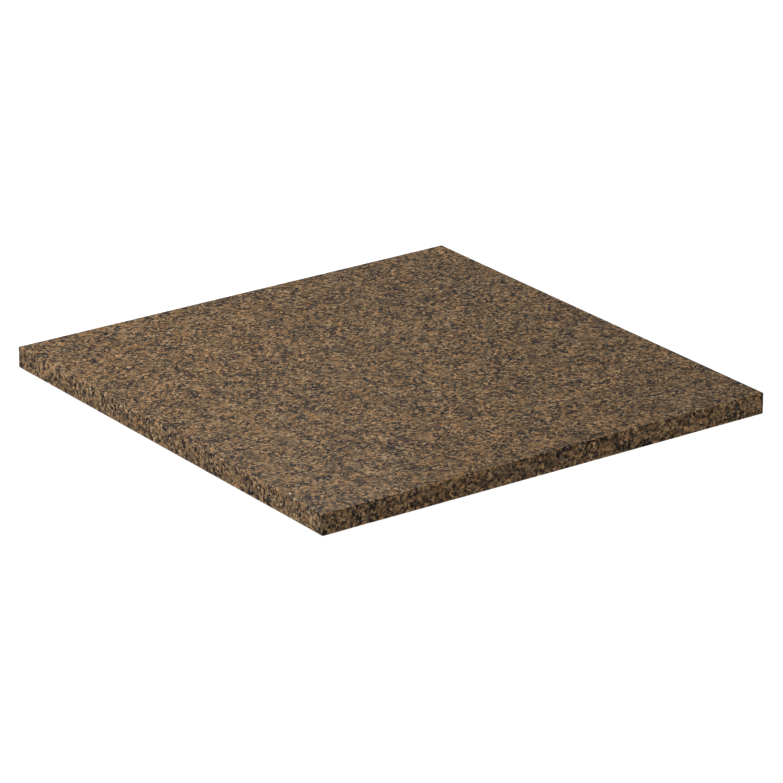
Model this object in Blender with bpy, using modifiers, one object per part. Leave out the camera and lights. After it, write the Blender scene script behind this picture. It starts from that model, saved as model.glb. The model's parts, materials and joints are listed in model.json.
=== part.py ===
"""Granite slab for leather tooling: a square stone plate standing on four stick-on rubber feet.

The frame has +Z up and its origin on the bench, under the middle of the slab.
The front is at -Y and the right at +X. Every length is in metres.
"""

import math

import bmesh
import bpy

# The stone plate
SLAB_WIDTH = 0.3048
SLAB_DEPTH = 0.3048
SLAB_THICKNESS = 0.0127
ARRIS_WIDTH = 0.0004
ARRIS_SEGMENTS = 3

# A foot is a low rubber puck, tapered towards the bench
FOOT_DIAMETER = 0.020
FOOT_HEIGHT = 0.0022
FOOT_TAPER = 0.0008
FOOT_EDGE_RADIUS = 0.0005
FOOT_RIM_WIDTH = 0.0028
FOOT_INSET = 0.030
FOOT_STEPS = 48
FOOT_EDGE_STEPS = 4

# A disc of double-sided foam tape sits in the recess in each foot's top
TAPE_THICKNESS = 0.0008
TAPE_CLEARANCE = 0.0004

# Pieces that touch keep this gap
SEAT_GAP = 0.0003

MERGE_DISTANCE = 0.00001

# What follows from them
SLAB_BOTTOM = FOOT_HEIGHT + SEAT_GAP
FOOT_TOP_RADIUS = FOOT_DIAMETER / 2
FOOT_BASE_RADIUS = FOOT_TOP_RADIUS - FOOT_TAPER
RECESS_RADIUS = FOOT_TOP_RADIUS - FOOT_RIM_WIDTH
RECESS_FLOOR = FOOT_HEIGHT - TAPE_THICKNESS - SEAT_GAP
TAPE_RADIUS = RECESS_RADIUS - TAPE_CLEARANCE
TAPE_BOTTOM = RECESS_FLOOR + SEAT_GAP
FOOT_X = SLAB_WIDTH / 2 - FOOT_INSET
FOOT_Y = SLAB_DEPTH / 2 - FOOT_INSET

FOOT_CORNERS = {
    "front_left": (-1, -1),
    "front_right": (1, -1),
    "rear_left": (-1, 1),
    "rear_right": (1, 1),
}

SMOOTH_ANGLE = math.radians(30)


def clear_scene():
    """Removes the objects that a new Blender file starts with."""
    for obj in list(bpy.data.objects):
        bpy.data.objects.remove(obj)


def make_material(name, colour, roughness):
    """A plain Principled material with a linear colour."""
    material = bpy.data.materials.new(name)
    material.use_nodes = True
    shader = material.node_tree.nodes["Principled BSDF"]
    shader.inputs["Base Color"].default_value = (*colour, 1)
    shader.inputs["Roughness"].default_value = roughness
    shader.inputs["Metallic"].default_value = 0
    return material


def make_collection(name):
    collection = bpy.data.collections.new(name)
    bpy.context.scene.collection.children.link(collection)
    return collection


def add_object(name, mesh, material, collection, origin, location):
    """Places a mesh as a named object under the empty that holds the assembly together."""
    if not mesh.materials:
        mesh.materials.append(material)
    obj = bpy.data.objects.new(name, mesh)
    collection.objects.link(obj)
    obj.parent = origin
    obj.location = location
    return obj


def slab_mesh():
    """A block of the slab's size, centred on its own origin."""
    mesh = bpy.data.meshes.new("granite_slab")
    shape = bmesh.new()
    bmesh.ops.create_cube(shape, size=1)
    bmesh.ops.scale(shape, vec=(SLAB_WIDTH, SLAB_DEPTH, SLAB_THICKNESS), verts=shape.verts)
    shape.to_mesh(mesh)
    shape.free()
    return mesh


def add_slab(collection, origin, material):
    """The stone plate, with every edge eased by hand so that it doesn't chip or cut."""
    middle = SLAB_BOTTOM + SLAB_THICKNESS / 2
    slab = add_object("granite_slab", slab_mesh(), material, collection, origin, (0, 0, middle))
    arris = slab.modifiers.new("arris", "BEVEL")
    arris.width = ARRIS_WIDTH
    arris.segments = ARRIS_SEGMENTS
    arris.limit_method = "NONE"
    return slab


def foot_profile():
    """Half of a foot's section, from the recess out over the rim and down to the bench."""
    points = [
        (0, RECESS_FLOOR),
        (RECESS_RADIUS, RECESS_FLOOR),
        (RECESS_RADIUS, FOOT_HEIGHT),
        (FOOT_TOP_RADIUS, FOOT_HEIGHT),
    ]
    for step in range(FOOT_EDGE_STEPS + 1):
        angle = math.pi / 2 * step / FOOT_EDGE_STEPS
        out = FOOT_BASE_RADIUS - FOOT_EDGE_RADIUS * (1 - math.cos(angle))
        up = FOOT_EDGE_RADIUS * (1 - math.sin(angle))
        points.append((out, up))
    points.append((0, 0))
    return points


def foot_mesh():
    """The section as a chain of edges, which a Screw modifier turns about Z."""
    points = foot_profile()
    mesh = bpy.data.meshes.new("rubber_foot")
    mesh.from_pydata(
        [(out, 0, up) for out, up in points],
        [(i, i + 1) for i in range(len(points) - 1)],
        [],
    )
    return mesh


def tape_mesh():
    """A disc that fills the recess, less its clearances."""
    mesh = bpy.data.meshes.new("tape_disc")
    shape = bmesh.new()
    bmesh.ops.create_cone(
        shape,
        cap_ends=True,
        segments=FOOT_STEPS,
        radius1=TAPE_RADIUS,
        radius2=TAPE_RADIUS,
        depth=TAPE_THICKNESS,
    )
    shape.to_mesh(mesh)
    shape.free()
    mesh.shade_smooth()
    mesh.set_sharp_from_angle(angle=SMOOTH_ANGLE)
    return mesh


def add_foot(name, mesh, material, collection, origin, place):
    foot = add_object(name, mesh, material, collection, origin, (*place, 0))
    turned = foot.modifiers.new("turned", "SCREW")
    turned.axis = "Z"
    turned.angle = math.tau
    turned.steps = FOOT_STEPS
    turned.render_steps = FOOT_STEPS
    turned.use_merge_vertices = True
    turned.merge_threshold = MERGE_DISTANCE
    turned.use_smooth_shade = False
    return foot


def main():
    clear_scene()
    collection = make_collection("granite_slab")
    origin = bpy.data.objects.new("bench_origin", None)
    collection.objects.link(origin)

    granite = make_material("brown_granite", (0.134, 0.083, 0.044), 0.35)
    rubber = make_material("black_rubber", (0.02, 0.02, 0.02), 0.7)
    foam = make_material("white_foam_tape", (0.75, 0.75, 0.72), 0.8)

    add_slab(collection, origin, granite)
    foot, tape = foot_mesh(), tape_mesh()
    tape_middle = TAPE_BOTTOM + TAPE_THICKNESS / 2
    for corner, (side, end) in FOOT_CORNERS.items():
        place = (side * FOOT_X, end * FOOT_Y)
        add_foot(f"foot_{corner}", foot, rubber, collection, origin, place)
        add_object(f"tape_disc_{corner}", tape, foam, collection, origin, (*place, tape_middle))


main()
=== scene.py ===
# %% [markdown]
# # A granite slab for tooling leather
# This lesson dresses the square stone plate that leatherworkers lay their leather on. Stone is
# heavy and hard, so a stamp or a punch meets a base that doesn't give, and the work comes out
# crisp. The plate stands on four low rubber feet, each held on by a disc of foam tape. The packed
# model fixes its shape and size, so every piece below takes its place from that model's boxes.

# %% Load the fixed model and measure it
import json
import math
import random

import bmesh
import bpy
from mathutils import Matrix, Vector

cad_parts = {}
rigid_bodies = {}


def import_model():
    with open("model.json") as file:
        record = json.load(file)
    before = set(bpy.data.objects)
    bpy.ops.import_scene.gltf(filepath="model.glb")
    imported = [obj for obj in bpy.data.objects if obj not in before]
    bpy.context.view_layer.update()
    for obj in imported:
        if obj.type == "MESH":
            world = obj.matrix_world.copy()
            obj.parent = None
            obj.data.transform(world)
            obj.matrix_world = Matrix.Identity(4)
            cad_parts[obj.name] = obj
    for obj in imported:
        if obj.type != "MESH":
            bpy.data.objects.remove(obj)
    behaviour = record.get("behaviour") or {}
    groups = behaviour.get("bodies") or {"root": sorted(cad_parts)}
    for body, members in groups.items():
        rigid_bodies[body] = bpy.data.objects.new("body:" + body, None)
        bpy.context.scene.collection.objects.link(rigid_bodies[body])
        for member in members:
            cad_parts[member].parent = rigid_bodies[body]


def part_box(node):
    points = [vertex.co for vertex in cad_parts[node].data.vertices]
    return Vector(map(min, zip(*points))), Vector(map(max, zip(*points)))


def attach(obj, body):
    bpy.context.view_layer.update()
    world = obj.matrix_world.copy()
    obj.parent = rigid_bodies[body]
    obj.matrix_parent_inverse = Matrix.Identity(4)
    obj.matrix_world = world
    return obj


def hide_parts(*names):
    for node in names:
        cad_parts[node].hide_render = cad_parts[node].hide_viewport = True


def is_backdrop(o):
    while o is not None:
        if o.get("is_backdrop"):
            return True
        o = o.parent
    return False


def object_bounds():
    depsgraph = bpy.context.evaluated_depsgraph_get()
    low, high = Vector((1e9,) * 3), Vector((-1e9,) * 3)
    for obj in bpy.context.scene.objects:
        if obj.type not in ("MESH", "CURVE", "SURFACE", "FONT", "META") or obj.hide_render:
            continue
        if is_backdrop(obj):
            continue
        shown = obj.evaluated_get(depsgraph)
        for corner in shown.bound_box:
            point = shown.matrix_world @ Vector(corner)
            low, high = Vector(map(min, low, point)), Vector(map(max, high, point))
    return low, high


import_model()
CAD_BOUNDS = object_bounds()

MM = 0.001
SLAB_LOW, SLAB_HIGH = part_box("granite_slab")
SLAB_SIZE = SLAB_HIGH - SLAB_LOW
SLAB_MIDDLE = (SLAB_LOW + SLAB_HIGH) / 2
CORNERS = ["front_left", "front_right", "rear_left", "rear_right"]
print("slab in mm:", [round(side / MM, 2) for side in SLAB_SIZE])
print("its underside stands", round(SLAB_LOW.z / MM, 2), "mm above the table")

# %% [markdown]
# ## The camera
# A short lens close by would spread the near corner and shrink the far one. A long lens from a few
# metres away keeps the far edges looking nearly as long as the near ones. The camera stands to the
# left of the front, looks down at a shallow angle, and leans by a third of a degree.

# %% Place the camera
LENS_MM = 208.6
SENSOR_MM = 36
CAMERA_AZIMUTH = math.radians(-36.156)
CAMERA_ELEVATION = math.radians(21.379)
CAMERA_LEAN = math.radians(0.327)
CAMERA_DISTANCE = 2.595
AIM_RIGHT, AIM_UP = 2.85 * MM, -0.79 * MM
# far enough to see the table to its end
SIGHT = 200


def camera_axes():
    """The camera's own right, up and back directions."""
    level = math.cos(CAMERA_ELEVATION)
    back = Vector(
        (
            math.sin(CAMERA_AZIMUTH) * level,
            -math.cos(CAMERA_AZIMUTH) * level,
            math.sin(CAMERA_ELEVATION),
        )
    )
    right = Vector((math.cos(CAMERA_AZIMUTH), math.sin(CAMERA_AZIMUTH), 0))
    lean = Matrix.Rotation(CAMERA_LEAN, 3, back)
    return lean @ right, lean @ back.cross(right), back


right, up, back = camera_axes()
aim = Vector((0, 0, SLAB_LOW.z)) + right * AIM_RIGHT + up * AIM_UP
turned = Matrix((right, up, back)).transposed().to_4x4()
bpy.ops.object.camera_add()
camera = bpy.context.object
camera.matrix_world = Matrix.Translation(aim + back * CAMERA_DISTANCE) @ turned
camera.data.lens = LENS_MM
camera.data.sensor_width = SENSOR_MM
camera.data.clip_end = SIGHT
bpy.context.scene.camera = camera
print("camera at", [round(x, 3) for x in camera.matrix_world.translation])

# %% [markdown]
# ## Colours and nodes
# A shader works in linear light, and a colour picker gives sRGB, so one helper turns the one into
# the other. Another adds a node, sets it and links it in one line, which keeps the long materials
# below readable.

# %% Helpers for colours and nodes
# a Mix node has a pair of sockets for every type of data, and these are its colours
MIX_A, MIX_B, MIXED = 6, 7, 2


def to_linear(hex_colour):
    """An sRGB hex colour as the linear RGBA that shaders work in."""
    parts = [int(hex_colour[i : i + 2], 16) / 255 for i in (1, 3, 5)]
    linear = [c / 12.92 if c <= 0.04045 else ((c + 0.055) / 1.055) ** 2.4 for c in parts]
    return (*linear, 1)


def add_node(tree, kind, sockets=None, ramp=None, **settings):
    """Adds a node, sets it, and gives each socket, by name or number, a value or a link."""
    node = tree.nodes.new(kind)
    for name, value in settings.items():
        setattr(node, name, value)
    for name, value in (sockets or {}).items():
        if isinstance(value, bpy.types.NodeSocket):
            tree.links.new(value, node.inputs[name])
        else:
            node.inputs[name].default_value = value
    if ramp:
        elements = node.color_ramp.elements
        while len(elements) < len(ramp):
            elements.new(0.5)
        for element, (position, colour) in zip(elements, ramp):
            element.position = position
            element.color = to_linear(colour)
    return node


print("middle grey, linear:", round(to_linear("#808080")[0], 3))

# %% [markdown]
# ## The studio
# The slab lies on white acrylic that is lit from behind, the usual table in a product studio: it
# gives a clean pale ground and hardly any shadow. A bright sky would be mirrored in the honed top
# and would lift its dark minerals, so the sky is dim in the stone and white only to the camera. One
# softbox stands high on the left. It is only a metre off, so the stone is brightest on that side,
# which an infinitely distant sun couldn't do.

# %% The sky
SKY_FRONT, SKY_BACK = 0.03, 0.198
SKY_BRIGHT_SIDE = (-0.3, 0.95, 0)
SKY_FADE = (-0.2, 0.9)
SKY_SEEN = 1.1


def make_sky():
    """A dim sky, brighter behind the slab and to its left, that the camera sees as white."""
    sky = bpy.data.worlds.new("studio sky")
    bpy.context.scene.world = sky
    sky.use_nodes = True
    tree = sky.node_tree
    tree.nodes.clear()
    white = to_linear("#FFFFFF")
    direction = add_node(tree, "ShaderNodeTexCoord").outputs["Generated"]
    sides = {0: direction, 1: SKY_BRIGHT_SIDE}
    across = add_node(tree, "ShaderNodeVectorMath", sides, operation="DOT_PRODUCT").outputs["Value"]
    dim_end = {"Value": across, "From Min": SKY_FADE[0], "To Min": SKY_FRONT}
    bright_end = {"From Max": SKY_FADE[1], "To Max": SKY_BACK}
    glow = add_node(tree, "ShaderNodeMapRange", dim_end | bright_end).outputs[0]
    dim = add_node(tree, "ShaderNodeBackground", {"Color": white, "Strength": glow})
    seen = add_node(tree, "ShaderNodeBackground", {"Color": white, "Strength": SKY_SEEN})
    to_camera = add_node(tree, "ShaderNodeLightPath").outputs["Is Camera Ray"]
    either = {0: to_camera, 1: dim.outputs[0], 2: seen.outputs[0]}
    mix = add_node(tree, "ShaderNodeMixShader", either)
    add_node(tree, "ShaderNodeOutputWorld", {"Surface": mix.outputs[0]})


bpy.context.scene.view_settings.view_transform = "Standard"
make_sky()
print("sky strength from", SKY_FRONT, "at the front to", SKY_BACK, "at the back")

# %% The lamps


def make_lamp(name, place, size, power, colour):
    """A square lamp that faces the slab, and that the camera doesn't see."""
    bpy.ops.object.light_add(type="AREA", location=place)
    lamp = bpy.context.object
    lamp.name = name
    lamp.data.energy = power
    lamp.data.size = size
    lamp.data.color = to_linear(colour)[:3]
    lamp.rotation_euler = place.to_track_quat("Z", "Y").to_euler()
    lamp.visible_camera = False
    print(name, "stands", round(place.length, 2), "m away")


make_lamp("softbox", Vector((-0.452, 0.24, 0.874)), size=0.6, power=15.75, colour="#E6ECFF")
# a small card behind the slab: the honed top mirrors it as a faint sheen by its front left corner
make_lamp("small card", Vector((0.26, 0.45, 0.40)), size=0.14, power=0.028, colour="#FFFFFF")

# %% The table
TABLE_SIZE = 60
TABLE_GLOW = 1.0


def make_table():
    """The ground, which glows white and keeps out of the stone's reflections."""
    bpy.ops.mesh.primitive_plane_add(size=TABLE_SIZE, location=(0, 0, 0))
    table = bpy.context.object
    table.name = "table"
    table.visible_glossy = False
    acrylic = bpy.data.materials.new("back-lit white acrylic")
    acrylic.use_nodes = True
    shader = acrylic.node_tree.nodes["Principled BSDF"]
    shader.inputs["Base Color"].default_value = to_linear("#707070")
    shader.inputs["Roughness"].default_value = 0.9
    shader.inputs["Specular IOR Level"].default_value = 0
    shader.inputs["Emission Color"].default_value = to_linear("#FFFFFF")
    shader.inputs["Emission Strength"].default_value = TABLE_GLOW
    table.data.materials.append(acrylic)
    table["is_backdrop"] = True


make_table()
print("table", TABLE_SIZE, "m across")

# %% [markdown]
# ## The stone plate
# A mason saws the plate from a thick block, hones its top flat, and eases every edge, or arris,
# with a diamond pad so that it doesn't chip or cut. Here the eased arris is only 0.4 mm wide. A
# cube with a Bevel would give the same arris all round, and it would look machined. A hand-held
# pad presses unevenly, and a heavy plate picks up nicks each time it is set down. So the cube's
# arris is cut into millimetre lengths, and then worn. The big faces stay single and flat: they
# need no grid.

# %% Select by place, as one would by hand


def deselect_everything():
    """An operator acts on all that is selected, and the fixed model comes in selected."""
    for obj in bpy.context.scene.objects:
        obj.select_set(False)


def choose(kind, wanted):
    """In edit mode, selects only the points, edges or faces that pass the test, and counts them."""
    bpy.ops.mesh.select_mode(type=kind)
    bpy.ops.mesh.select_all(action="DESELECT")
    mesh = bpy.context.object.data
    cage = bmesh.from_edit_mesh(mesh)
    parts = {"VERT": cage.verts, "EDGE": cage.edges, "FACE": cage.faces}[kind]
    chosen = [part for part in parts if wanted(part)]
    for part in chosen:
        part.select_set(True)
    cage.select_flush_mode()
    bmesh.update_edit_mesh(mesh)
    return len(chosen)


# a face whose normal is within 2.6 degrees of upright counts as level
LEVEL = 0.999


def faces_up(face):
    return face.normal.z > LEVEL


def faces_down(face):
    return face.normal.z < -LEVEL


deselect_everything()
print("still selected:", sum(obj.select_get() for obj in bpy.context.scene.objects))

# %% Saw the block and ease its edges
ARRIS = 0.4 * MM
ARRIS_STEPS = 3

bpy.ops.mesh.primitive_cube_add(size=1, location=SLAB_MIDDLE, scale=SLAB_SIZE)
slab = bpy.context.object
slab.name = "stone_plate"
bpy.ops.object.transform_apply(location=True, rotation=True, scale=True)
bpy.ops.object.mode_set(mode="EDIT")
bpy.ops.mesh.select_all(action="SELECT")
bpy.ops.mesh.bevel(offset=ARRIS, segments=ARRIS_STEPS, affect="EDGES")
print("faces after easing:", len(bmesh.from_edit_mesh(slab.data).faces))

# %% Open the top and the underside, and cut the rest into short lengths
# Subdivide would lay a grid over a big face whose edges are all cut, so the two biggest are lifted
# off first.
choose("FACE", lambda face: faces_up(face) or faces_down(face))
bpy.ops.mesh.delete(type="ONLY_FACE")


def cut_along(axis, longer_than, cuts):
    """Cuts every edge that runs along the axis and is longer than this into equal pieces."""

    def runs_along(edge):
        run = edge.verts[1].co - edge.verts[0].co
        return abs(run[axis]) > longer_than and run.length < abs(run[axis]) * 1.001

    count = choose("EDGE", runs_along)
    bpy.ops.mesh.subdivide(number_cuts=cuts)
    print("cut", count, "edges along", "XYZ"[axis], "into", cuts + 1)


# a long edge is cut into 17 pieces, and each of those into 17 more, about a millimetre long
LONG_CUTS = 16
UPRIGHT_CUTS = 10
for axis in (0, 1):
    cut_along(axis, longer_than=100 * MM, cuts=LONG_CUTS)
    cut_along(axis, longer_than=10 * MM, cuts=LONG_CUTS)
cut_along(2, longer_than=5 * MM, cuts=UPRIGHT_CUTS)

# %% Lay the top and the underside back as single flat faces
SEEN_FLAT = 0.001 * MM


def rim_at(height):
    """A test for the open edges at this height."""

    def on_rim(edge):
        return edge.is_boundary and all(abs(end.co.z - height) < SEEN_FLAT for end in edge.verts)

    return on_rim


for height in (SLAB_LOW.z, SLAB_HIGH.z):
    rim = choose("EDGE", rim_at(height))
    bpy.ops.mesh.edge_face_add()
    print("one face closed over", rim, "edges")
bpy.ops.mesh.select_all(action="SELECT")
bpy.ops.mesh.normals_make_consistent(inside=False)
print("faces up and down:", choose("FACE", faces_up), choose("FACE", faces_down))

# %% Nick the arris here and there
# Each nick scales one ring of the arris away from the sharp line that the edge had before it was
# eased, and proportional editing blends it into its neighbours. The plate never grows past the sawn
# block.
NICKS = {"long, top": 15, "long, underside": 10, "upright": 2}
# the widest nick grows its ring by this share of the ring's own size
WIDEST = 1.1
CLEAR_OF_CORNERS = 2 * MM
# a little over half of a millimetre length, so that there is a ring within reach
RING_REACH = 0.583 * MM
dice = random.Random(12)


def nick(axis, line, along, widening, reach):
    """Widens the arris beside this sharp line, at one place along it."""
    place = line.copy()
    place[axis] = along

    def in_ring(point):
        if abs(point.co[axis] - along) > RING_REACH:
            return False
        across = [side for side in range(3) if side != axis]
        return all(abs(point.co[side] - place[side]) < ARRIS * 1.5 for side in across)

    choose("VERT", in_ring)
    scale = [1 + widening] * 3
    scale[axis] = 1
    bpy.ops.transform.resize(
        value=scale,
        center_override=place,
        use_proportional_edit=True,
        proportional_size=reach,
        proportional_edit_falloff="SHARP",
    )


def sharp_lines():
    """The twelve edges of the sawn block: the axis that each runs along, and a point on it."""
    for axis in range(3):
        sides = [side for side in range(3) if side != axis]
        for first in (SLAB_LOW, SLAB_HIGH):
            for second in (SLAB_LOW, SLAB_HIGH):
                line = SLAB_MIDDLE.copy()
                line[sides[0]], line[sides[1]] = first[sides[0]], second[sides[1]]
                yield axis, line


nicks = 0
for axis, line in sharp_lines():
    where = "upright" if axis == 2 else "long, top" if line.z > SLAB_MIDDLE.z else "long, underside"
    for _ in range(NICKS[where]):
        along = dice.uniform(SLAB_LOW[axis] + CLEAR_OF_CORNERS, SLAB_HIGH[axis] - CLEAR_OF_CORNERS)
        # squaring makes most nicks small and a few wide
        widening = WIDEST * dice.random() ** 2
        nick(axis, line, along, widening, reach=dice.uniform(1.2, 3.5) * MM)
        nicks += 1
bpy.ops.object.mode_set(mode="OBJECT")
print(nicks, "nicks")

# %% Press the arris unevenly
# The two middle rows of the arris sink by up to a tenth of a millimetre, so it goes from round to
# nearly flat.
SINK = 0.10 * MM
STROKE = 9 * MM


def in_arris(point):
    """True for the rows of points that lie on neither of the arris's two flats."""
    insets = [min(point.co[i] - SLAB_LOW[i], SLAB_HIGH[i] - point.co[i]) for i in range(3)]
    return min(insets) > SEEN_FLAT and sorted(insets)[1] < ARRIS


middle_rows = [point.index for point in slab.data.vertices if in_arris(point)]
print(len(middle_rows), "points sink")
rows = slab.vertex_groups.new(name="middle of the arris")
rows.add(middle_rows, 1, "REPLACE")
pressure = bpy.data.textures.new("hand pressure", "CLOUDS")
pressure.noise_scale = STROKE
press = slab.modifiers.new("pressed unevenly", "DISPLACE")
press.vertex_group = rows.name
press.texture = pressure
press.mid_level = 1
press.strength = SINK
bpy.ops.object.modifier_apply(modifier=press.name)
slab.vertex_groups.clear()


# %% Shade big faces flat and their arrises soft
def shade_by_area(piece):
    """Smooth shading in which each point takes its direction from the biggest faces around it."""
    deselect_everything()
    piece.select_set(True)
    bpy.context.view_layer.objects.active = piece
    bpy.ops.object.shade_smooth()
    weigh = piece.modifiers.new("weigh by area", "WEIGHTED_NORMAL")
    weigh.weight = 100
    bpy.ops.object.modifier_apply(modifier=weigh.name)
    print(piece.name, "has", len(piece.data.polygons), "faces")


shade_by_area(slab)

# %% [markdown]
# ## A flat sheet for the stone
# To carry the stone's pattern as a picture, one flat sheet has to be laid over the plate. An
# automatic unwrap would break the top into islands. Here the top gets three quarters of the sheet's
# width, the four edges lie above it as strips at the same scale, and the underside, which is seldom
# seen, is squeezed into what is left.

# %% Unfold the plate
TOP_SHARE = 0.75
MARGIN = 0.004
STRIP_TALL = TOP_SHARE * SLAB_SIZE.z / SLAB_SIZE.x
STRIP_STEP = 0.045
UNDERSIDE_WIDE = 0.225
# a face's (axis, sign): the corner and size of its place on the sheet, and the axes laid along it
SHEET = {
    (2, 1): ((MARGIN, MARGIN), (TOP_SHARE, TOP_SHARE), (0, 1)),
    (2, -1): ((TOP_SHARE + 4 * MARGIN, MARGIN), (UNDERSIDE_WIDE, TOP_SHARE), (0, 1)),
}
for row, side in enumerate([(1, -1), (0, 1), (1, 1), (0, -1)]):
    corner = (MARGIN, TOP_SHARE + 5 * MARGIN + row * STRIP_STEP)
    SHEET[side] = (corner, (TOP_SHARE, STRIP_TALL), (1 - side[0], 2))


def unfold(piece):
    """Lays each face on the sheet by the way it looks."""
    sheet = piece.data.uv_layers.new(name="OFBake")
    for face in piece.data.polygons:
        axis = max(range(3), key=lambda i: abs(face.normal[i]))
        corner, size, along = SHEET[axis, 1 if face.normal[axis] > 0 else -1]
        for loop in face.loop_indices:
            point = piece.data.vertices[piece.data.loops[loop].vertex_index].co
            share = [(point[i] - SLAB_LOW[i]) / SLAB_SIZE[i] for i in along]
            sheet.data[loop].uv = [corner[i] + size[i] * share[i] for i in (0, 1)]
    return sheet


while slab.data.uv_layers:
    slab.data.uv_layers.remove(slab.data.uv_layers[0])
sheet = unfold(slab)
print("sheet used up to", [round(max(spot.uv[i] for spot in sheet.data), 3) for i in (0, 1)])

# %% [markdown]
# ## Granite
# Granite is a mass of interlocked crystals that cooled together: brown feldspar, greyer feldspar, a
# little pale quartz and black mica. Sawing cuts them at random, so the surface shows grains of 1 to
# 6 mm with ragged edges. A flat printed pattern would stretch over the edges. Noise and Voronoi
# patterns are solid instead: they fill the whole block, and a grain that reaches an edge goes on
# round it, as in real stone. Plain Voronoi cells look like tiles, so their coordinates are crumpled
# twice first. Feldspar and quartz bend light about as glass does, so the shader keeps its usual IOR
# of 1.5.

# %% Helpers: crumple a place, and add weighted parts


def crumpled(tree, place, size, reach):
    """The place, pushed about by up to half of reach, in folds of the given size."""
    folds = add_node(tree, "ShaderNodeTexNoise", {"Vector": place, "Scale": 1 / size, "Detail": 2})
    middle = {0: folds.outputs["Color"], 1: (0.5, 0.5, 0.5)}
    centred = add_node(tree, "ShaderNodeVectorMath", middle, operation="SUBTRACT")
    wide = {0: centred.outputs[0], "Scale": reach}
    push = add_node(tree, "ShaderNodeVectorMath", wide, operation="SCALE")
    return add_node(tree, "ShaderNodeVectorMath", {0: place, 1: push.outputs[0]}).outputs[0]


def weighted(tree, parts, start):
    """start plus each part times its weight."""
    total = start
    for part, weight in parts:
        sum_so_far = {0: part, 1: weight, 2: total}
        step = add_node(tree, "ShaderNodeMath", sum_so_far, operation="MULTIPLY_ADD")
        total = step.outputs[0]
    return total


# %% Crystals, grains and lamellae
CRYSTAL = 5.5 * MM
GRAIN = 1.6 * MM
FLAKE = 0.6 * MM
LAMELLA = 1.6 * MM
LAMELLA_SLIM = 4


def crystals_in(tree, folded, ragged):
    """Random numbers for each crystal and grain, and fine streaks that turn with the crystal."""
    big = add_node(tree, "ShaderNodeTexVoronoi", {"Vector": ragged, "Scale": 1 / CRYSTAL})
    small = add_node(tree, "ShaderNodeTexVoronoi", {"Vector": ragged, "Scale": 1 / GRAIN})
    crystal = add_node(tree, "ShaderNodeSeparateColor", {0: big.outputs["Color"]}).outputs
    grain = add_node(tree, "ShaderNodeSeparateColor", {0: small.outputs["Color"]}).outputs
    turn = add_node(
        tree,
        "ShaderNodeVectorRotate",
        {"Vector": folded, "Axis": big.outputs["Color"], "Angle": crystal[0]},
        rotation_type="AXIS_ANGLE",
    )
    squeezed = {0: turn.outputs[0], 1: (1, LAMELLA_SLIM, 1)}
    slim = add_node(tree, "ShaderNodeVectorMath", squeezed, operation="MULTIPLY")
    streaks = {"Vector": slim.outputs[0], "Scale": 1 / LAMELLA, "Detail": 2}
    lamellae = add_node(tree, "ShaderNodeTexNoise", streaks).outputs[0]
    return crystal, grain, lamellae


print("crystals of", round(CRYSTAL / MM, 1), "mm, made up of grains of", round(GRAIN / MM, 1), "mm")

# %% Feldspar: light and dark grains in two families of brown
WARM = [
    (0, "#121011"), (0.16, "#271E19"), (0.34, "#604729"),
    (0.55, "#8B653C"), (0.75, "#AF824F"), (1, "#DBAC74"),
]
COOL = [
    (0, "#101011"), (0.16, "#231E1A"), (0.34, "#55442D"),
    (0.55, "#7E6543"), (0.75, "#9F8056"), (1, "#CEAD7E"),
]
CLOUD = 14 * MM
# how far the grains and flakes of a crystal stray from its own tone
BUSY, CALM = 1.42, 0.91


def feldspar(tree, place, ragged, crystal, grain, lamellae):
    """The brown body of the stone, how busy each crystal is, and the finest flakes."""
    small = {"Vector": ragged, "Scale": 1 / FLAKE, "Detail": 3, "Roughness": 0.65}
    flakes = add_node(tree, "ShaderNodeTexNoise", small).outputs[0]
    large = {"Vector": place, "Scale": 1 / CLOUD, "Detail": 2}
    clouds = add_node(tree, "ShaderNodeTexNoise", large).outputs[0]
    # about half of the crystals are broken up by their grains, and the others are calm
    drawn = {"Value": crystal[1], "From Min": 0.52, "From Max": 0.62}
    busy_or_calm = drawn | {"To Min": BUSY, "To Max": CALM}
    busy = add_node(tree, "ShaderNodeMapRange", busy_or_calm).outputs[0]
    # each pattern averages a half, and half of the weights is taken off, so fine averages nothing
    fine = weighted(tree, [(grain[0], 0.50), (flakes, 1.42), (lamellae, 0.88)], -1.40)
    tone = weighted(tree, [(busy, fine), (clouds, 0.28), (busy, -0.05)], 0.37)
    warm = add_node(tree, "ShaderNodeValToRGB", {0: tone}, ramp=WARM).outputs[0]
    cool = add_node(tree, "ShaderNodeValToRGB", {0: tone}, ramp=COOL).outputs[0]
    draw = weighted(tree, [(crystal[2], 0.4), (grain[1], 0.6)], 0.0)
    split = {"Value": draw, "From Min": 0.30, "From Max": 0.70}
    family = add_node(tree, "ShaderNodeMapRange", split).outputs[0]
    families = {"Factor": family, MIX_A: cool, MIX_B: warm}
    body = add_node(tree, "ShaderNodeMix", families, data_type="RGBA").outputs[MIXED]
    return body, busy, flakes


print("warm feldspar runs from", WARM[0][1], "to", WARM[-1][1])

# %% Black mica, in books and in specks
MICA_BOOK = 2.2 * MM
MICA_SWARM = 9 * MM
MICA_SPECK = 1.2 * MM
# where the noise starts to be mica, and where it is all mica: higher levels leave less of it
BOOK_EDGE = (0.764, 0.792)
SPECK_EDGE = (0.785, 0.822)


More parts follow.
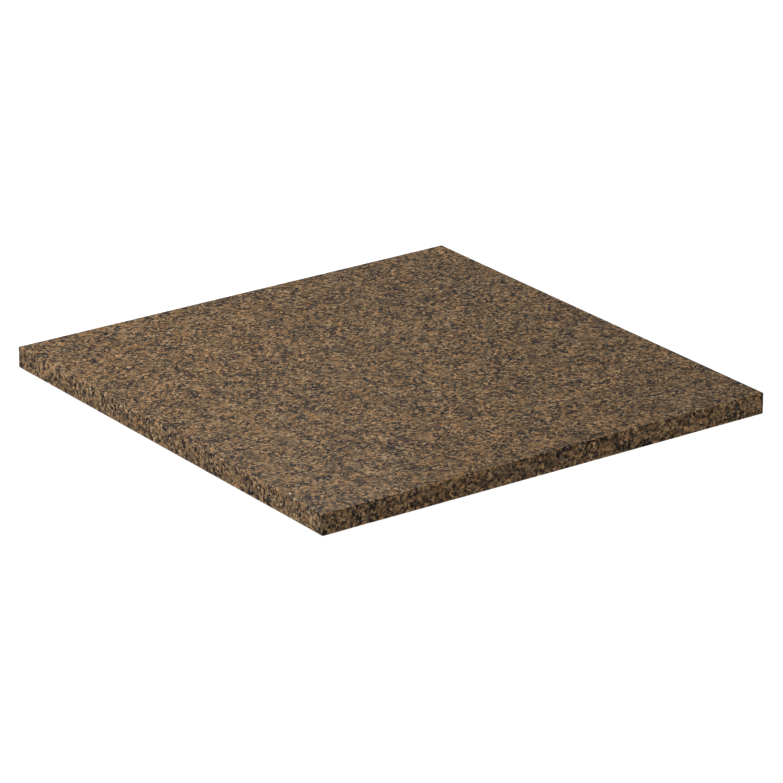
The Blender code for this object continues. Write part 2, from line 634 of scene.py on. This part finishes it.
def black_mica(tree, place, ragged, busy):
    """How far a spot is mica: thick books gather in swarms, and specks fill the busy crystals."""
    book_noise = {"Vector": ragged, "Scale": 1 / MICA_BOOK, "Detail": 2, "Roughness": 0.6}
    books = add_node(tree, "ShaderNodeTexNoise", book_noise).outputs[0]
    swarm_noise = {"Vector": place, "Scale": 1 / MICA_SWARM, "Detail": 1}
    swarms = add_node(tree, "ShaderNodeTexNoise", swarm_noise)
    book_level = weighted(tree, [(swarms.outputs[0], 0.35)], books)
    book_edge = {"Value": book_level, "From Min": BOOK_EDGE[0], "From Max": BOOK_EDGE[1]}
    book = add_node(tree, "ShaderNodeMapRange", book_edge).outputs[0]
    speck_noise = {"Vector": ragged, "Scale": 1 / MICA_SPECK, "Detail": 1}
    specks = add_node(tree, "ShaderNodeTexNoise", speck_noise)
    speck_level = weighted(tree, [(busy, 0.10)], specks.outputs[0])
    speck_edge = {"Value": speck_level, "From Min": SPECK_EDGE[0], "From Max": SPECK_EDGE[1]}
    speck = add_node(tree, "ShaderNodeMapRange", speck_edge).outputs[0]
    return add_node(tree, "ShaderNodeMath", {0: book, 1: speck}, operation="MAXIMUM").outputs[0]


print("mica books of", round(MICA_BOOK / MM, 1), "mm, specks of", round(MICA_SPECK / MM, 1), "mm")

# %% Saw marks, for the face that nobody hones
SAW_PITCH = 2.5 * MM
# the way from the blade's middle to the slab's, in metres
FROM_BLADE = (0.9, 0.5, 0)
# a Wave texture's rings are this far apart at a scale of 1
WAVE_PERIOD = math.tau / 20


def saw_marks(tree, place):
    """Shallow arcs from a saw blade about a metre in radius."""
    from_blade = add_node(tree, "ShaderNodeVectorMath", {0: place, 1: FROM_BLADE}).outputs[0]
    arcs = {"Vector": from_blade, "Scale": WAVE_PERIOD / SAW_PITCH, "Distortion": 1.5, "Detail": 2}
    settings = {"wave_type": "RINGS", "rings_direction": "Z"}
    return add_node(tree, "ShaderNodeTexWave", arcs, **settings).outputs["Fac"]


print("a saw mark every", round(SAW_PITCH / MM, 1), "mm")

# %% The minerals together
MICA_BLACK = "#121217"
QUARTZ_CREAM = "#DFCA99"
QUARTZ_SPACING = 17 * MM
# grains get ragged outlines from broad folds and then finer ones, each with a size and a reach
BROAD_FOLDS = (1.6 * MM, 2.4 * MM)
FINE_FOLDS = (0.6 * MM, 0.7 * MM)


def minerals(tree, place):
    """The stone's colour, how far a spot is mica, and the finest flakes."""
    folded = crumpled(tree, place, *BROAD_FOLDS)
    ragged = crumpled(tree, folded, *FINE_FOLDS)
    crystal, grain, lamellae = crystals_in(tree, folded, ragged)
    body, busy, flakes = feldspar(tree, place, ragged, crystal, grain, lamellae)
    mica = black_mica(tree, place, ragged, busy)
    spotted = {"Factor": mica, MIX_A: body, MIX_B: to_linear(MICA_BLACK)}
    stone = add_node(tree, "ShaderNodeMix", spotted, data_type="RGBA").outputs[MIXED]
    # quartz is only the heart of each widely spaced cell, about 1.3 mm across
    seeds = add_node(tree, "ShaderNodeTexVoronoi", {"Vector": ragged, "Scale": 1 / QUARTZ_SPACING})
    near_seed = {"Value": seeds.outputs["Distance"], "From Min": 0.045, "From Max": 0.030}
    fleck = add_node(tree, "ShaderNodeMapRange", near_seed).outputs[0]
    flecked = {"Factor": fleck, MIX_A: stone, MIX_B: to_linear(QUARTZ_CREAM)}
    stone = add_node(tree, "ShaderNodeMix", flecked, data_type="RGBA").outputs[MIXED]
    return stone, mica, flakes


print("cream quartz about every", round(QUARTZ_SPACING / MM), "mm")

# %% The stone in any finish
MICA_DULLER = 0.15
DUST_GREY = "#A79C8B"
SAW_DUST = 0.28


def granite(name, roughness, relief, sawn=False):
    """Granite with this roughness and this relief in metres. A sawn face is dusty, with arcs."""
    rock = bpy.data.materials.new(name)
    rock.use_nodes = True
    tree = rock.node_tree
    shader = tree.nodes["Principled BSDF"]
    place = add_node(tree, "ShaderNodeTexCoord").outputs["Object"]
    stone, mica, flakes = minerals(tree, place)
    # mica is soft: it takes less polish than feldspar, and it sits a little lower
    height = weighted(tree, [(mica, -0.6)], flakes)
    if sawn:
        dusty = {"Factor": SAW_DUST, MIX_A: stone, MIX_B: to_linear(DUST_GREY)}
        stone = add_node(tree, "ShaderNodeMix", dusty, data_type="RGBA").outputs[MIXED]
        height = weighted(tree, [(saw_marks(tree, place), 1.1)], height)
    tree.links.new(stone, shader.inputs["Base Color"])
    glosses = {"Value": mica, "To Min": roughness, "To Max": roughness + MICA_DULLER}
    gloss = add_node(tree, "ShaderNodeMapRange", glosses).outputs[0]
    tree.links.new(gloss, shader.inputs["Roughness"])
    bump = add_node(tree, "ShaderNodeBump", {"Height": height, "Distance": relief, "Strength": 1})
    tree.links.new(bump.outputs[0], shader.inputs["Normal"])
    print(name, "uses", len(tree.nodes), "nodes")
    return rock


# %% [markdown]
# ### Three finishes on one stone
# The top is honed to a satin gloss, so that leather slides on it and stamps don't skid. The edges
# are sawn and then rubbed by hand, which leaves them a little duller. The underside is left as the
# saw cut it: rough, and paler, since a broken surface scatters the light. One function makes all
# three, and the pattern runs through from face to face.

# %% Give each face its finish
slab.data.materials.append(granite("granite, honed", roughness=0.23, relief=0.01 * MM))
slab.data.materials.append(granite("granite, sawn and rubbed", roughness=0.38, relief=0.006 * MM))
slab.data.materials.append(granite("granite, sawn", roughness=0.75, relief=0.15 * MM, sawn=True))
bpy.ops.object.mode_set(mode="EDIT")
FINISHES = [faces_up, lambda face: not faces_up(face) and not faces_down(face), faces_down]
for index, wanted in enumerate(FINISHES):
    count = choose("FACE", wanted)
    slab.active_material_index = index
    bpy.ops.object.material_slot_assign()
    print(count, "faces are", slab.data.materials[index].name)
bpy.ops.object.mode_set(mode="OBJECT")
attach(slab, "root")
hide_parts("granite_slab")

# %% [markdown]
# ## The rubber feet
# Stone slides and scratches, so the plate stands on low moulded pucks. A real one is shot in a
# steel mould: it tapers so that it comes out, its lower edge is round, its underside has grooves
# that grip and let water out, and a pocket in its top holds the tape. A lathe-like Spin of a drawn
# section would do, but inset and extrude on a cylinder's two caps make the same rings with nothing
# to draw, and they show how each ring follows from the last.

# %% A puck at its size and place
FOOT_LOW, FOOT_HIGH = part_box("foot_front_left")
FOOT_RADIUS = (FOOT_HIGH.x - FOOT_LOW.x) / 2
FOOT_MIDDLE = (FOOT_LOW + FOOT_HIGH) / 2
FOOT_SIDES = 96
FOOT_TAPER = 0.92
FOOT_ROUND = 0.5 * MM

deselect_everything()
foot_tall = FOOT_HIGH.z - FOOT_LOW.z
bpy.ops.mesh.primitive_cylinder_add(
    vertices=FOOT_SIDES, radius=FOOT_RADIUS, depth=foot_tall, location=FOOT_MIDDLE
)
foot = bpy.context.object
foot.name = "rubber_foot"
bpy.ops.object.transform_apply(location=True, rotation=True, scale=True)
bpy.ops.object.mode_set(mode="EDIT")
choose("FACE", faces_down)
base_middle = Vector((FOOT_MIDDLE.x, FOOT_MIDDLE.y, FOOT_LOW.z))
bpy.ops.transform.resize(value=(FOOT_TAPER, FOOT_TAPER, 1), center_override=base_middle)
choose("EDGE", lambda edge: all(end.co.z < FOOT_LOW.z + SEEN_FLAT for end in edge.verts))
bpy.ops.mesh.bevel(offset=FOOT_ROUND, segments=4, affect="EDGES")
print("foot radius in mm:", round(FOOT_RADIUS / MM, 2))

# %% Grooves under it, and the moulding dimple
LAND = 1.5 * MM
GROOVE_WIDE = 0.9 * MM
GROOVE_DEEP = 0.35 * MM
DIMPLE_LAND = 2.6 * MM


def push_cap(distance):
    """Extrudes the selected cap up or down."""
    bpy.ops.mesh.extrude_region_move(TRANSFORM_OT_translate={"value": (0, 0, distance)})


choose("FACE", faces_down)
for _ in range(2):
    bpy.ops.mesh.inset(thickness=LAND)
    push_cap(GROOVE_DEEP)
    bpy.ops.mesh.inset(thickness=GROOVE_WIDE)
    push_cap(-GROOVE_DEEP)
bpy.ops.mesh.inset(thickness=DIMPLE_LAND)
push_cap(GROOVE_DEEP)
print("faces in the foot:", len(bmesh.from_edit_mesh(foot.data).faces))

# %% The pocket for the tape, and softer corners
TAPE_LOW, TAPE_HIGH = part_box("tape_disc_front_left")
TAPE_RADIUS = (TAPE_HIGH.x - TAPE_LOW.x) / 2
POCKET_PLAY = 0.4 * MM
TAPE_GAP = 0.3 * MM
MOULD_RADIUS = 0.1 * MM
SHARP = math.radians(40)

choose("FACE", faces_up)
bpy.ops.mesh.inset(thickness=FOOT_RADIUS - TAPE_RADIUS - POCKET_PLAY)
push_cap(TAPE_LOW.z - TAPE_GAP - FOOT_HIGH.z)
bpy.ops.object.mode_set(mode="OBJECT")
soften = foot.modifiers.new("mould radius", "BEVEL")
soften.width = MOULD_RADIUS
soften.segments = 2
soften.limit_method = "ANGLE"
soften.angle_limit = SHARP
bpy.ops.object.modifier_apply(modifier=soften.name)
shade_by_area(foot)

# %% [markdown]
# ### Moulded rubber
# EPDM is filled with soot, so it is nearly black all through. The mould's spark-eroded wall leaves
# a fine even grain that breaks up the gloss, and the feet pick up a little pale dust from the
# bench.

# %% Black rubber
# an eroded grain is really nearer 0.1 mm, and it is drawn coarser so that it shows
RUBBER_GRAIN = 0.35 * MM
RUBBER_BLOOM = 4 * MM
DUST_MOTE = 0.8 * MM


def moulded_rubber():
    """Soot-black EPDM with a fine eroded grain, uneven gloss and a little dust."""
    rubber = bpy.data.materials.new("moulded EPDM rubber")
    rubber.use_nodes = True
    tree = rubber.node_tree
    shader = tree.nodes["Principled BSDF"]
    place = add_node(tree, "ShaderNodeTexCoord").outputs["Object"]
    grain_noise = {"Vector": place, "Scale": 1 / RUBBER_GRAIN, "Detail": 2}
    grain = add_node(tree, "ShaderNodeTexNoise", grain_noise).outputs[0]
    bloom_noise = {"Vector": place, "Scale": 1 / RUBBER_BLOOM, "Detail": 3}
    bloom = add_node(tree, "ShaderNodeTexNoise", bloom_noise).outputs[0]
    tint = [(0.35, "#171718"), (0.65, "#222223")]
    black = add_node(tree, "ShaderNodeValToRGB", {0: bloom}, ramp=tint).outputs[0]
    mote_noise = {"Vector": place, "Scale": 1 / DUST_MOTE, "Detail": 2}
    motes = add_node(tree, "ShaderNodeTexNoise", mote_noise).outputs[0]
    settled = {"Value": motes, "From Min": 0.66, "From Max": 0.78, "To Max": 0.35}
    dust = add_node(tree, "ShaderNodeMapRange", settled).outputs[0]
    dusty = {"Factor": dust, MIX_A: black, MIX_B: to_linear("#8B857B")}
    colour = add_node(tree, "ShaderNodeMix", dusty, data_type="RGBA").outputs[MIXED]
    tree.links.new(colour, shader.inputs["Base Color"])
    glosses = {"Value": bloom, "To Min": 0.50, "To Max": 0.72}
    gloss = add_node(tree, "ShaderNodeMapRange", glosses).outputs[0]
    tree.links.new(gloss, shader.inputs["Roughness"])
    relief = {"Height": grain, "Distance": 0.02 * MM, "Strength": 1}
    tree.links.new(add_node(tree, "ShaderNodeBump", relief).outputs[0], shader.inputs["Normal"])
    shader.inputs["IOR"].default_value = 1.52
    print(rubber.name, "uses", len(tree.nodes), "nodes")
    return rubber


foot.data.materials.append(moulded_rubber())

# %% Copy a finished piece to the other corners


def copy_to_corners(piece, label, node_label):
    """Gives every corner its own copy and mesh, and hides the node that each one stands for."""
    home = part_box(f"{node_label}_{CORNERS[0]}")[0]
    copies = {CORNERS[0]: piece}
    for corner in CORNERS[1:]:
        deselect_everything()
        piece.select_set(True)
        bpy.context.view_layer.objects.active = piece
        bpy.ops.object.duplicate()
        bpy.ops.transform.translate(value=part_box(f"{node_label}_{corner}")[0] - home)
        bpy.ops.object.transform_apply(location=True, rotation=False, scale=False)
        copies[corner] = bpy.context.object
    for corner, copy in copies.items():
        copy.name = f"{label}_{corner}"
        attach(copy, "root")
        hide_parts(f"{node_label}_{corner}")
    print("made", [copy.name for copy in copies.values()])


copy_to_corners(foot, "rubber_foot", "foot")

# %% [markdown]
# ## The foam tape
# Each foot is held by a die-cut disc of double-sided foam tape. Its foam core is closed-cell and
# swells a little between two thin films of adhesive, since the plate's weight presses on it. So it
# starts as the lower film, and the core and the upper film are extruded from it ring by ring.

# %% A disc of tape
FILM = 0.08 * MM
CORE_IN = 0.975
CORE_STEPS = 4

deselect_everything()
film_middle = Vector((FOOT_MIDDLE.x, FOOT_MIDDLE.y, TAPE_LOW.z + FILM / 2))
bpy.ops.mesh.primitive_cylinder_add(
    vertices=FOOT_SIDES, radius=TAPE_RADIUS * CORE_IN, depth=FILM, location=film_middle
)
tape = bpy.context.object
tape.name = "foam_tape"
bpy.ops.object.transform_apply(location=True, rotation=True, scale=True)
bpy.ops.object.mode_set(mode="EDIT")
choose("FACE", faces_up)
core_tall = TAPE_HIGH.z - TAPE_LOW.z - 2 * FILM
swell_before = CORE_IN
for step in range(1, CORE_STEPS + 1):
    push_cap(core_tall / CORE_STEPS)
    swell = CORE_IN + (1 - CORE_IN) * math.sin(math.pi * step / CORE_STEPS)
    grow = swell / swell_before
    bpy.ops.transform.resize(value=(grow, grow, 1), center_override=film_middle)
    swell_before = swell
push_cap(FILM)
bpy.ops.object.mode_set(mode="OBJECT")
bpy.ops.object.shade_smooth_by_angle(angle=SHARP)
print("tape radius in mm:", round(TAPE_RADIUS / MM, 2), "faces:", len(tape.data.polygons))

# %% Closed-cell foam
FOAM_CELL = 0.3 * MM


def closed_cell_foam():
    """Polyethylene foam: off-white, matt, and pitted with cut cells, with painted shade in each
    pit.
    """
    foam = bpy.data.materials.new("closed-cell polyethylene foam")
    foam.use_nodes = True
    tree = foam.node_tree
    shader = tree.nodes["Principled BSDF"]
    place = add_node(tree, "ShaderNodeTexCoord").outputs["Object"]
    cells = add_node(tree, "ShaderNodeTexVoronoi", {"Vector": place, "Scale": 1 / FOAM_CELL})
    depth = cells.outputs["Distance"]
    # painted shade: each cut cell is drawn darker towards its hollow middle, where the bump sinks
    # it
    painted_pit_shade = [(0.0, "#C4C0B4"), (0.6, "#E3E0D6")]
    colour = add_node(tree, "ShaderNodeValToRGB", {0: depth}, ramp=painted_pit_shade).outputs[0]
    tree.links.new(colour, shader.inputs["Base Color"])
    shader.inputs["Roughness"].default_value = 0.85
    relief = {"Height": depth, "Distance": 0.06 * MM, "Strength": 1}
    tree.links.new(add_node(tree, "ShaderNodeBump", relief).outputs[0], shader.inputs["Normal"])
    return foam


tape.data.materials.append(closed_cell_foam())
copy_to_corners(tape, "foam_tape", "tape_disc")

# %% [markdown]
# ## Measure and finish
# The dressed model has to fill the same box as the fixed one, so both boxes are printed before the
# frame is closed.

# %% Print both boxes
VISUAL_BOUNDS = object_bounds()
boxes = {"cad": [list(p) for p in CAD_BOUNDS], "visual": [list(p) for p in VISUAL_BOUNDS]}
for name, box in boxes.items():
    print(name, "box in mm:", [[round(x / MM, 3) for x in corner] for corner in box])
